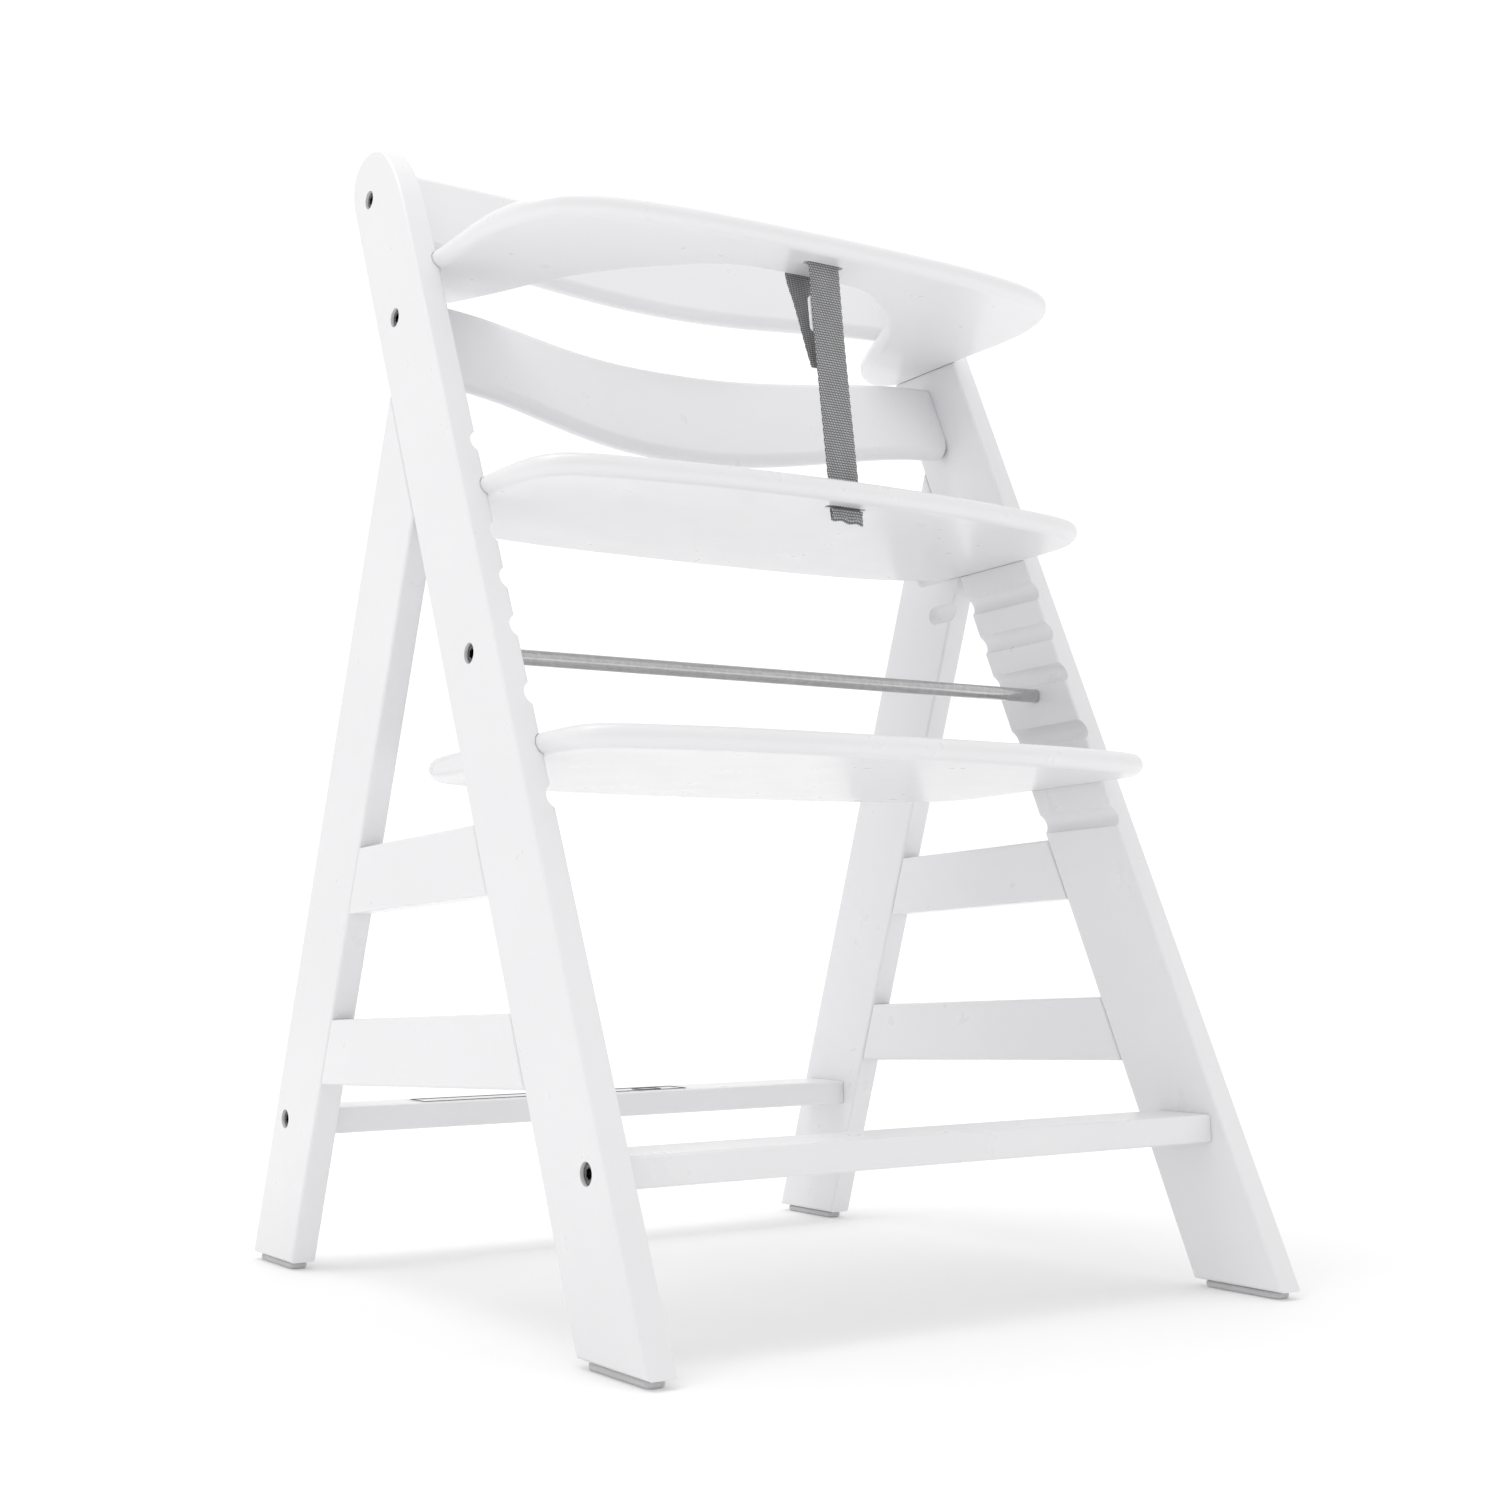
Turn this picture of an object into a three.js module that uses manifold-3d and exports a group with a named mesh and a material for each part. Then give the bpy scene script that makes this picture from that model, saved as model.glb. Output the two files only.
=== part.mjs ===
// Step-up high chair for a small child: two leaning side frames joined by cross members,
// with a seat board and a foot board that slide in a ladder of grooves.
// Millimetres, +Z up, front of the chair towards -Y, X = 0 is the plane of symmetry.
import * as THREE from 'three';
import { mergeVertices } from 'three/addons/utils/BufferGeometryUtils.js';
import Module from 'manifold-3d';

const wasm = await Module();
wasm.setup();
const RAD = Math.PI / 180;

// ---- driving dimensions -------------------------------------------------
const WIDTH = 484;              // over the two side frames
const FRAME_T = 18;             // thickness of beams, legs and rails
const STANCE = 560;             // front of beam to back of leg, at the foot
const FOOT_H = 5;               // height of the foot glides
const BEAM_W = 70, BEAM_LEAN = 24.48 * RAD;
const LEG_W = 69, LEG_LEAN = 19.66 * RAD;
const EDGE_R = 2;               // eased edges of the frame boards
const GAP = 0.3;                // glue and seat clearance between pieces
const RAIL_H = 44, RAIL_SLOPE = 2.5 * RAD;
const RAIL_MID = [[17, 273.2], [12.2, 158.8]];      // y, z on each rail's centre line
const BOARD_T = 15, BOARD_SLOPE = 1.8 * RAD;        // seat, foot and tray boards
const GROOVE_R = BOARD_T / 2 + GAP, GROOVE_DEPTH = 4.8;
const PITCH = 35.2;             // groove spacing along the beam's front edge
const SEAT_GROOVES = [566.2, 5], FOOT_GROOVES = [377.2, 3];   // first position, count
const TRAY_GROOVE = 719.8;
const LEG_GROOVE_END = 126;     // how far a seat groove runs back from the beam's front
const BAR_D = 48, BAR_H = 18, BAR_Z = 103.1, FRONT_BAR_Y = -199.4, REAR_BAR_Y = 211.4;
const ROD_R = 5, ROD_AT = [-60.5, 406];
const SLAT_T = 15, SLAT_CORNER = 10;
// depth n from the beam's back, lower and upper edge along it, bow, drop and rise at mid-span
const SLATS = {
  upper: { n: 24.5, low: 767, high: 838.5, bow: 9.5, drop: 8.5, rise: 7.5, bolt: 808.8 },
  lower: { n: 27.5, low: 645.6, high: 714, bow: 39.5, drop: 4.8, rise: 8, bolt: 699 },
};
const BOLT = { head: 6.1, headH: 5, recess: 1.7, shank: 3, length: 38, socket: 3.1, socketD: 3.4 };
const INSERT = { outer: 4.6, inner: 3.3, length: 21 };
const STRAP_W = 25, STRAP_T = 1.4;
const SLOT = [32, 6];

const INNER = WIDTH / 2 - FRAME_T;                  // inner face of a side frame
const BOARD_HALF = INNER + GROOVE_DEPTH - GAP;      // half width of a board in its groove
const HEEL_Y = -STANCE / 2 + BEAM_W / Math.cos(BEAM_LEAN);   // beam's back edge at the foot
const tanB = Math.tan(BEAM_LEAN), tanL = Math.tan(LEG_LEAN);

// ---- materials ----------------------------------------------------------
const mat = (color, roughness, metalness = 0) =>
  new THREE.MeshStandardMaterial({ color, roughness, metalness });
const LACQUER = mat(0xf2f2f0, 0.35), STEEL = mat(0xb9bcbe, 0.3, 1), BOLTMET = mat(0x8f9294, 0.35, 1);
const GLIDE = mat(0x9a9c9e, 0.6), WEB = mat(0x85888a, 0.9), CLIP = mat(0xf4f4f4, 0.4);
const BRASS = mat(0xb59a55, 0.4, 1);

const group = new THREE.Group();
group.name = 'high_chair';
function add(name, geometry, material) {
  const mesh = new THREE.Mesh(geometry, material);
  mesh.name = name;
  group.add(mesh);
}

// ---- solids -------------------------------------------------------------
function volumeOf(pos, idx) {
  let v = 0;
  for (let i = 0; i < idx.length; i += 3) {
    const [a, b, c] = [idx[i], idx[i + 1], idx[i + 2]].map(k => pos[k]);
    v += a[0] * (b[1] * c[2] - b[2] * c[1]) - a[1] * (b[0] * c[2] - b[2] * c[0])
      + a[2] * (b[0] * c[1] - b[1] * c[0]);
  }
  return v / 6;
}
// closed mesh from points and triangles, turned right side out
function solid(pos, idx) {
  if (volumeOf(pos, idx) < 0)
    for (let i = 0; i < idx.length; i += 3) [idx[i], idx[i + 1]] = [idx[i + 1], idx[i]];
  const g = new THREE.BufferGeometry();
  g.setAttribute('position', new THREE.Float32BufferAttribute(pos.flat(), 3));
  g.setIndex(idx);
  g.computeVertexNormals();
  return g;
}
// stack of equal-length rings, closed with flat ends
function loft(rings, flat) {
  const n = rings[0].length, pos = rings.flat(), idx = [];
  for (let r = 0; r + 1 < rings.length; r++)
    for (let i = 0; i < n; i++) {
      const a = r * n + i, b = r * n + (i + 1) % n;
      idx.push(a, b, b + n, a, b + n, a + n);
    }
  const caps = THREE.ShapeUtils.triangulateShape(flat.map(p => new THREE.Vector2(p[0], p[1])), []);
  const top = (rings.length - 1) * n;
  const area = THREE.ShapeUtils.area(flat.map(p => new THREE.Vector2(p[0], p[1])));
  for (const [a, b, c] of caps)
    if (area > 0) idx.push(a, c, b, top + a, top + b, top + c);
    else idx.push(a, b, c, top + a, top + c, top + b);
  return solid(pos, idx);
}
// outline moved inwards by d
function inset(outline, d) {
  const n = outline.length;
  const ccw = Math.sign(THREE.ShapeUtils.area(outline.map(p => new THREE.Vector2(...p))));
  return outline.map((p, i) => {
    const a = outline[(i + n - 1) % n], b = outline[(i + 1) % n];
    const e = [[p[0] - a[0], p[1] - a[1]], [b[0] - p[0], b[1] - p[1]]]
      .map(v => { const l = Math.hypot(...v); return [-v[1] / l * ccw, v[0] / l * ccw]; });
    const m = [e[0][0] + e[1][0], e[0][1] + e[1][1]], k = 2 / (m[0] ** 2 + m[1] ** 2);
    return [p[0] + m[0] * k * d, p[1] + m[1] * k * d];
  });
}
// board from an outline: rounded edge of radius r, placed by at(a, b, height)
function board(outline, t, r, steps, at) {
  const rings = [];
  const ring = (d, h) => rings.push(inset(outline, d).map(p => at(p[0], p[1], h)));
  for (let k = 0; k <= steps; k++) {
    const f = -90 + 90 * k / steps;
    ring(r * (1 - Math.cos(f * RAD)), -t / 2 + r + r * Math.sin(f * RAD));
  }
  for (let k = (t > 2 * r ? 0 : 1); k <= steps; k++) {
    const f = 90 * k / steps;
    ring(r * (1 - Math.cos(f * RAD)), t / 2 - r + r * Math.sin(f * RAD));
  }
  return loft(rings, inset(outline, r));
}
// prism of a section given in y, z, from x0 to x1
const prism = (section, x0, x1) =>
  loft([section.map(p => [x0, p[0], p[1]]), section.map(p => [x1, p[0], p[1]])], section);
// turned solid about an X axis through y, z; profile is radius, distance from x towards dir
function turned(profile, x, y, z, dir, segments) {
  const start = profile[0][0] === 0 ? [] : [profile[0]];
  const pts = [...profile, ...start].map(p => new THREE.Vector2(p[0], p[1]));
  let g = new THREE.LatheGeometry(pts, segments);
  g = clean(g);
  const p = g.attributes.position, pos = [];
  for (let i = 0; i < p.count; i++) pos.push([x + dir * p.getY(i), y + p.getX(i), z + p.getZ(i)]);
  return solid(pos, Array.from(g.index.array));
}
function clean(g) {
  const h = new THREE.BufferGeometry();
  h.setAttribute('position', g.attributes.position);
  if (g.index) h.setIndex(g.index);
  const m = mergeVertices(h, 1e-4), ix = m.index.array, keep = [];
  for (let i = 0; i < ix.length; i += 3)
    if (ix[i] !== ix[i + 1] && ix[i + 1] !== ix[i + 2] && ix[i] !== ix[i + 2])
      keep.push(ix[i], ix[i + 1], ix[i + 2]);
  m.setIndex(keep);
  return m;
}
const toMan = g => {
  const c = clean(g);
  return new wasm.Manifold(new wasm.Mesh({
    numProp: 3, vertProperties: Float32Array.from(c.attributes.position.array),
    triVerts: Uint32Array.from(c.index.array),
  }));
};
function cut(g, tools) {
  let m = toMan(g);
  for (const t of tools) m = m.subtract(toMan(t));
  const out = m.getMesh(), r = new THREE.BufferGeometry();
  r.setAttribute('position', new THREE.Float32BufferAttribute(Array.from(out.vertProperties), 3));
  r.setIndex(Array.from(out.triVerts));
  r.computeVertexNormals();
  return r;
}
function mirrored(g) {
  const p = g.attributes.position, pos = [];
  for (let i = 0; i < p.count; i++) pos.push([-p.getX(i), p.getY(i), p.getZ(i)]);
  return solid(pos, Array.from(g.index.array));
}
function addPair(name, g, material) {
  add(name + '_right', g, material);
  add(name + '_left', mirrored(g), material);
}
const spline = (points, n) => new THREE.SplineCurve(points.map(p => new THREE.Vector2(...p)))
  .getSpacedPoints(n).map(v => [v.x, v.y]);

// ---- side frames --------------------------------------------------------
// beam coordinates: s up along the back edge from the foot, n forwards from the back edge
const onBeam = (s, n) => [
  HEEL_Y + s * Math.sin(BEAM_LEAN) - n * Math.cos(BEAM_LEAN),
  FOOT_H + s * Math.cos(BEAM_LEAN) + n * Math.sin(BEAM_LEAN),
];
const beamBack = z => HEEL_Y + (z - FOOT_H) * tanB;
const legFront = z => STANCE / 2 - LEG_W / Math.cos(LEG_LEAN) - (z - FOOT_H) * tanL;
const legBack = z => STANCE / 2 - (z - FOOT_H) * tanL;
const SIDE_X = WIDTH / 2 - FRAME_T / 2;
const sideBoard = (outline, steps = 1) =>
  board(outline, FRAME_T, EDGE_R, steps, (y, z, h) => [SIDE_X + h, y, z]);

// a board's groove: a round cutter that leaves GROOVE_DEPTH in the inner face
const rearward = [0, Math.cos(BOARD_SLOPE), -Math.sin(BOARD_SLOPE)];
function grooveTool(s, from, to, roundEnd) {
  const [y, z] = onBeam(s, BEAM_W);
  const n = 20, rings = [], section = [];
  for (let i = 0; i < n; i++) {
    const a = (i + 0.5) * 2 * Math.PI / n;
    section.push([Math.cos(a), Math.sin(a)]);
  }
  const stations = [[from, 1], [to, 1]];
  if (roundEnd) stations.push([to + 4, 0.87], [to + 6.6, 0.55], [to + 7.7, 0.1]);
  for (const [d, k] of stations)
    rings.push(section.map(([a, b]) => [
      INNER + GROOVE_DEPTH - GROOVE_R + a * GROOVE_R * k,
      y + rearward[1] * d + b * GROOVE_R * k * Math.sin(BOARD_SLOPE),
      z + rearward[2] * d + b * GROOVE_R * k * Math.cos(BOARD_SLOPE)]));
  return loft(rings, section);
}
const ladder = ([first, count]) => Array.from({ length: count }, (_, i) => first - i * PITCH);
const seatSteps = ladder(SEAT_GROOVES), footSteps = ladder(FOOT_GROOVES);

// bolt places on a side frame: y, z
const boltAt = {
  slat_upper: onBeam(SLATS.upper.bolt, SLATS.upper.n),
  slat_lower: onBeam(SLATS.lower.bolt, SLATS.lower.n),
  rod: ROD_AT, bar_front: [FRONT_BAR_Y - 13.4, BAR_Z], bar_rear: [REAR_BAR_Y + 13.6, BAR_Z],
};
const boreD = BOLT.recess + BOLT.headH + 0.6;       // depth of the head's counterbore
const boltHole = ([y, z]) => turned([[0, -1], [BOLT.head + 0.5, -1], [BOLT.head + 0.5, boreD],
  [BOLT.shank + 0.4, boreD], [BOLT.shank + 0.4, FRAME_T + 1], [0, FRAME_T + 1]],
WIDTH / 2, y, z, -1, 20);

// long front beam with its leaning round top
const TOP = [[812, 0], [826, 1.2], [836.5, 6], [843, 14], [845, 24], [842.5, 36], [836, 47],
  [826.5, 55.5], [815, 61], [800, 65.5], [780, 68.7], [755, 70]];
const beamOutline = [onBeam(0, 0), ...spline(TOP, 14).map(p => onBeam(...p)),
  onBeam(-BEAM_W * tanB, BEAM_W)];
const beamTools = [TRAY_GROOVE, ...seatSteps, ...footSteps].map(s => grooveTool(s, -30, 130, false));
addPair('beam', cut(sideBoard(beamOutline), [...beamTools,
  ...['slat_upper', 'slat_lower', 'rod', 'bar_front'].map(k => boltHole(boltAt[k]))]), LACQUER);

// back leg, its head cut to the beam's back edge
const seamZ = line => {                             // height at which a leg line meets the beam
  const y0 = line(FOOT_H), y1 = HEEL_Y + GAP / Math.cos(BEAM_LEAN);
  return FOOT_H + (y0 - y1) / (tanB + tanL);
};
const zCrotch = seamZ(legFront), zHead = seamZ(legBack);
const legOutline = [[legBack(FOOT_H), FOOT_H], [legBack(zHead), zHead], [legFront(zCrotch), zCrotch],
  [legFront(FOOT_H), FOOT_H]];
addPair('leg', cut(sideBoard(legOutline), [
  ...seatSteps.slice(0, 3).map(s => grooveTool(s, 20, LEG_GROOVE_END - 7.7, true)),
  boltHole(boltAt.bar_rear)]), LACQUER);

// two rails a side, rising slightly to the front
RAIL_MID.forEach(([ym, zm], i) => {
  const half = RAIL_H / 2 / Math.cos(RAIL_SLOPE), k = Math.tan(RAIL_SLOPE);
  const corner = (front, up) => {                   // rail line z = c - (y - ym) k against an upright
    const c = zm + up * half;
    const y0 = front ? HEEL_Y + GAP / Math.cos(BEAM_LEAN) : legFront(FOOT_H) - GAP / Math.cos(LEG_LEAN);
    const t = front ? tanB : -tanL;
    const z = (c + k * ym - k * y0 + k * t * FOOT_H) / (1 + k * t);
    return [y0 + (z - FOOT_H) * t, z];
  };
  addPair(i ? 'rail_lower' : 'rail_upper',
    sideBoard([corner(false, -1), corner(false, 1), corner(true, 1), corner(true, -1)]), LACQUER);
});

// glides under the four feet
const roundedBox = (w, d, r, n) => {
  const p = [];
  for (const [cx, cy, a0] of [[1, 1, 0], [-1, 1, 90], [-1, -1, 180], [1, -1, 270]])
    for (let k = 0; k <= n; k++) {
      const a = (a0 + 90 * k / n) * RAD;
      p.push([cx * (w / 2 - r) + r * Math.cos(a), cy * (d / 2 - r) + r * Math.sin(a)]);
    }
  return p;
};
const footLen = { front: BEAM_W / Math.cos(BEAM_LEAN), rear: LEG_W / Math.cos(LEG_LEAN) };
for (const end of ['front', 'rear']) {
  const y = (end === 'front' ? -1 : 1) * (STANCE / 2 - footLen[end] / 2);
  const h = FOOT_H - GAP;
  addPair('glide_' + end, board(roundedBox(12.6, footLen[end] - 12, 4.5, 4), h, 2, 2,
    (x, v, k) => [SIDE_X + x, y + v, h / 2 + k]), GLIDE);
}

// ---- cross members ------------------------------------------------------
const SPAN = INNER - GAP;                           // half length of a cross member
const insertHole = ([y, z]) => [1, -1].map(dir => turned([[0, -1], [INSERT.outer + GAP, -1],
  [INSERT.outer + GAP, INSERT.length + 1], [BOLT.shank + 0.3, INSERT.length + 1],
  [BOLT.shank + 0.3, BOLT.length - FRAME_T + 2], [0, BOLT.length - FRAME_T + 2]],
dir * SPAN, y, z, -dir, 16));
for (const [name, y] of [['front', FRONT_BAR_Y], ['rear', REAR_BAR_Y]]) {
  const section = roundedBox(BAR_D, BAR_H, 2, 2).map(p => [y + p[0], BAR_Z + p[1]]);
  add('crossbar_' + name, cut(prism(section, -SPAN, SPAN), insertHole(boltAt['bar_' + name])), LACQUER);
}
const rodHole = BOLT.length - FRAME_T + 2;
add('rod', turned([[0, rodHole], [BOLT.shank + 0.3, rodHole], [BOLT.shank + 0.3, 0], [ROD_R - 0.5, 0],
  [ROD_R, 0.5], [ROD_R, 2 * SPAN - 0.5], [ROD_R - 0.5, 2 * SPAN], [BOLT.shank + 0.3, 2 * SPAN],
  [BOLT.shank + 0.3, 2 * SPAN - rodHole], [0, 2 * SPAN - rodHole]], -SPAN, ...ROD_AT, 1, 24), STEEL);

// backrest slats: rounded board, bowed to the back between straight ends
for (const [name, s] of Object.entries(SLATS)) {
  const stations = [-1, 1].flatMap(q => [SPAN, SPAN - 3, SPAN - 8, SPAN - SLAT_CORNER,
    190, 166, 144, 122, 100, 76, 50, 25].map(x => q * x)).concat(0).sort((a, b) => a - b);
  const bowAt = x => s.bow * Math.cos(Math.PI / 2 * Math.abs(x / SPAN) ** 1.15) ** 2;
  const rings = stations.map(x => {
    const slope = (bowAt(x + 1) - bowAt(x - 1)) / 2, mid = Math.cos(Math.PI / 2 * x / SPAN) ** 2;
    const past = Math.max(0, Math.abs(x) - (SPAN - SLAT_CORNER));
    const corner = SLAT_CORNER - Math.sqrt(SLAT_CORNER ** 2 - past ** 2);
    const low = s.low - s.drop * mid + corner, high = s.high + s.rise * mid;
    const c = s.n - bowAt(x), r = SLAT_T / 2, k = Math.hypot(1, slope);
    const ring = [];
    for (const [cs, a0] of [[high - r, -90], [low + r, 90]])
      for (let j = 0; j <= 6; j++) {
        const a = (a0 + 30 * j) * RAD;
        ring.push([x, ...onBeam(cs + r * Math.cos(a), c + r * k * Math.sin(a))]);
      }
    return ring;
  });
  const flat = rings[0].map(p => [p[1], p[2]]);
  add('slat_' + name, cut(loft(rings, flat), insertHole(boltAt['slat_' + name])), LACQUER);
}

// bolts through the side frames, with threaded inserts in the wooden members
for (const [name, [y, z]] of Object.entries(boltAt)) {
  const b = BOLT, t = b.recess;
  addPair('bolt_' + name, turned([[0, t + b.socketD], [b.socket, t + b.socketD], [b.socket, t],
    [b.head - 0.7, t], [b.head, t + 0.7], [b.head, t + b.headH], [b.shank, t + b.headH],
    [b.shank, b.length - 1], [b.shank - 1, b.length], [0, b.length]], WIDTH / 2, y, z, -1, 18), BOLTMET);
  if (name !== 'rod')
    addPair('insert_' + name, turned([[INSERT.inner, 0], [INSERT.outer, 0], [INSERT.outer, INSERT.length],
      [INSERT.inner, INSERT.length]], SPAN - 0.5, y, z, -1, 16), BRASS);
}

// ---- boards in the grooves ----------------------------------------------
// board coordinates: x, then distance y measured back from X axis along the slope
function boardPlace(s) {
  const [y, z] = onBeam(s, BEAM_W), c = Math.cos(BOARD_SLOPE), q = Math.sin(BOARD_SLOPE);
  return (x, v, h) => {
    const d = (v - y) / c;                          // v is the plan position of the board's mid plane
    return [x, y + d * c + h * q, z - d * q + h * c];
  };
}
const bothSides = half => [...half, ...half.slice(1, -1).reverse().map(([x, y]) => [-x, y])];
const nosed = (outline, s) => board(outline, BOARD_T, BOARD_T / 2, 3, boardPlace(s));
const slotTool = (s, v) => {
  const at = boardPlace(s), r = roundedBox(SLOT[0], SLOT[1], SLOT[1] / 2 - 0.01, 3);
  return loft([-20, 20].map(h => r.map(p => at(p[0], v + p[1], h))), r);
};
const SEAT_S = seatSteps[1], FOOT_S = footSteps[1];
const SEAT_SLOT_Y = -129, TRAY_SLOT_Y = -106.5;

const seatHalf = [
  ...spline([[0, -149], [50, -148], [100, -145], [142, -140.5], [175, -135.5], [199, -130], [213, -122.5],
    [222, -109.5], [226.5, -92], [BOARD_HALF, -68]], 15),
  ...spline([[BOARD_HALF, 8], [226.5, 26], [220, 41], [208, 53], [190, 62], [158, 70.5], [100, 76],
    [0, 78.5]], 11)];
add('seat_board', cut(nosed(bothSides(seatHalf), SEAT_S), [slotTool(SEAT_S, SEAT_SLOT_Y)]), LACQUER);

const footHalf = [
  ...spline([[0, -199], [60, -198.5], [110, -196.8], [150, -193.5], [183, -188.5], [204, -184],
    [218.5, -176.5], [226, -163], [228.2, -145], [BOARD_HALF, -122]], 15),
  ...spline([[BOARD_HALF, 2], [226.5, 25], [219.5, 41], [204.5, 54.5], [180, 65], [130, 74], [70, 79],
    [0, 80.5]], 12)];
add('foot_board', nosed(bothSides(footHalf), FOOT_S), LACQUER);

const trayHalf = [
  ...spline([[0, -129.5], [60, -128.5], [110, -126.5], [150, -122], [180, -115.8], [201, -107],
    [213.5, -94.5], [222.5, -77.5], [227.8, -56], [229.5, -30], [229, -5], [BOARD_HALF, 22]], 16),
  ...spline([[BOARD_HALF, 92], [227, 102], [222, 110], [213, 115], [203, 114.5], [192, 107], [182, 95],
    [173, 79], [161, 55], [149, 28], [135, 2], [118, -21], [97, -42], [76, -60], [58, -71], [38, -75.5],
    [0, -76.5]], 30)];
add('tray', cut(nosed(bothSides(trayHalf), TRAY_GROOVE), [slotTool(TRAY_GROOVE, TRAY_SLOT_Y)]), LACQUER);

// ---- crotch strap -------------------------------------------------------
const trayAt = boardPlace(TRAY_GROOVE), seatAt = boardPlace(SEAT_S);
const yz = p => [p[1], p[2]];
const half = BOARD_T / 2, off = half + 0.5 + STRAP_T / 2;
const frontTop = yz(trayAt(0, TRAY_SLOT_Y - 0.2, 0));
const frontLow = yz(seatAt(0, SEAT_SLOT_Y + 1.5, half + 3.5));
const run = [frontLow[0] - frontTop[0], frontLow[1] - frontTop[1]];
const runL = Math.hypot(...run), dir = run.map(v => v / runL);
// point across, down the front run, and behind it
const alongRun = (a, d, h) =>
  [a, frontTop[0] + dir[0] * d - dir[1] * h, frontTop[1] + dir[1] * d + dir[0] * h];
const wrap = [0, 30, 60, 90].map(a =>
  yz(trayAt(0, -84 + off * Math.cos(a * RAD), off * Math.sin(a * RAD))));
const strapPath = [[-109.5, 612], [-94.5, 648], [-79.3, 676], ...wrap,
  yz(trayAt(0, -95.5, off)), yz(trayAt(0, TRAY_SLOT_Y + 3.5, off)),
  yz(trayAt(0, TRAY_SLOT_Y + 0.6, off - 0.7)), yz(trayAt(0, TRAY_SLOT_Y, half - 2)),
  frontTop, alongRun(0, 30, 0.9).slice(1), alongRun(0, 62, 1.2).slice(1),
  alongRun(0, 98, 0.9).slice(1), frontLow];
function strip(path, t) {                           // flat band seen edge on, as a closed section
  const left = [], right = [];
  path.forEach((p, i) => {
    const a = path[Math.max(0, i - 1)], b = path[Math.min(path.length - 1, i + 1)];
    const l = Math.hypot(b[0] - a[0], b[1] - a[1]);
    const nx = -(b[1] - a[1]) / l * t / 2, ny = (b[0] - a[0]) / l * t / 2;
    left.push([p[0] + nx, p[1] + ny]);
    right.unshift([p[0] - nx, p[1] - ny]);
  });
  return [...left, ...right];
}
add('strap', prism(strip(strapPath, STRAP_T), -STRAP_W / 2, STRAP_W / 2), WEB);
const stub = [yz(seatAt(0, SEAT_SLOT_Y + 1.2, half + 1)), yz(seatAt(0, SEAT_SLOT_Y + 0.6, -half)),
  yz(seatAt(0, SEAT_SLOT_Y - 0.5, -half - 9.5))];
add('strap_end', prism(strip(stub, STRAP_T), -STRAP_W / 2, STRAP_W / 2), WEB);

// ladder-plate slider lying against the back of the front run
const SLIDER = { w: 25.8, h: 26, t: 3, from: 30, behind: 3.9 };
const ladderSlot = d => loft([-8, 8].map(k => roundedBox(21, 4, 1, 2)
  .map(([a, v]) => alongRun(a, SLIDER.from + d + v, SLIDER.behind + k))), roundedBox(21, 4, 1, 2));
add('strap_slider', cut(board(roundedBox(SLIDER.w, SLIDER.h, 3, 3), SLIDER.t, 1, 1,
  (a, v, k) => alongRun(a, SLIDER.from + SLIDER.h / 2 + v, SLIDER.behind + k)),
[ladderSlot(7.5), ladderSlot(SLIDER.h - 7.5)]), CLIP);

export default group;
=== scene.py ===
import math
import bpy
import bmesh
import numpy as np
from mathutils import Matrix, Vector


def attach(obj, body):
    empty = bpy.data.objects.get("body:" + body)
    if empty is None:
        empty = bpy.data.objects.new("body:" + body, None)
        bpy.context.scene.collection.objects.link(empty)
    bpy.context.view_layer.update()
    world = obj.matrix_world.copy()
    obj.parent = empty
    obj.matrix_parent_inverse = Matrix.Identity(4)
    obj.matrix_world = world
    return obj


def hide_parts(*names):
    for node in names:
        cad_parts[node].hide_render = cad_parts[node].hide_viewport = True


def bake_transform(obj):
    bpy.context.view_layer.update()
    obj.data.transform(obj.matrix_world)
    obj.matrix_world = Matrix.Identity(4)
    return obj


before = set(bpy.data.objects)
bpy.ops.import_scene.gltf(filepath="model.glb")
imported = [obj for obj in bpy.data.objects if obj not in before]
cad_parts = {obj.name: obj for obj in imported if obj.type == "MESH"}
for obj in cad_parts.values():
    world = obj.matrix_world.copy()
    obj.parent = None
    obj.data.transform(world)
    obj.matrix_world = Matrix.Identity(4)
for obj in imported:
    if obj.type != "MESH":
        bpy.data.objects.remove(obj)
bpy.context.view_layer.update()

scene = bpy.context.scene
RAD = math.pi / 180

# ---- dimensions, as in the CAD ------------------------------------------
WIDTH, FRAME_T, STANCE, FOOT_H = 484, 18, 560, 5
BEAM_W, BEAM_LEAN, LEG_W, LEG_LEAN = 70, 24.48 * RAD, 69, 19.66 * RAD
EDGE_R, GAP = 2.0, 0.3
RAIL_H, RAIL_SLOPE, RAIL_MID = 44, 2.5 * RAD, [(17, 273.2), (12.2, 158.8)]
BOARD_T, BOARD_SLOPE = 15, 1.8 * RAD
GROOVE_R, GROOVE_DEPTH, PITCH = BOARD_T / 2 + GAP, 4.8, 35.2
SEAT_STEPS = [566.2 - i * PITCH for i in range(5)]
FOOT_STEPS = [377.2 - i * PITCH for i in range(3)]
TRAY_S, SEAT_S, FOOT_S = 719.8, SEAT_STEPS[1], FOOT_STEPS[1]
LEG_GROOVE_END = 126
BAR_D, BAR_H, BAR_Z, FRONT_BAR_Y, REAR_BAR_Y = 48, 18, 103.1, -199.4, 211.4
ROD_R, ROD_AT = 5, (-60.5, 406)
SLAT_T, SLAT_CORNER = 15, 10
SLATS = {
    "upper": dict(n=24.5, low=767, high=838.5, bow=9.5, drop=8.5, rise=7.5, bolt=808.8),
    "lower": dict(n=27.5, low=645.6, high=714, bow=39.5, drop=4.8, rise=8, bolt=699),
}
HEAD_R, HEAD_H, RECESS, SHANK_R, BOLT_L, SOCKET, SOCKET_D = 6.1, 5, 1.7, 3, 38, 2.9, 3.4
STRAP_W, STRAP_T, SLOT = 25, 1.4, (32, 6)
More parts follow.
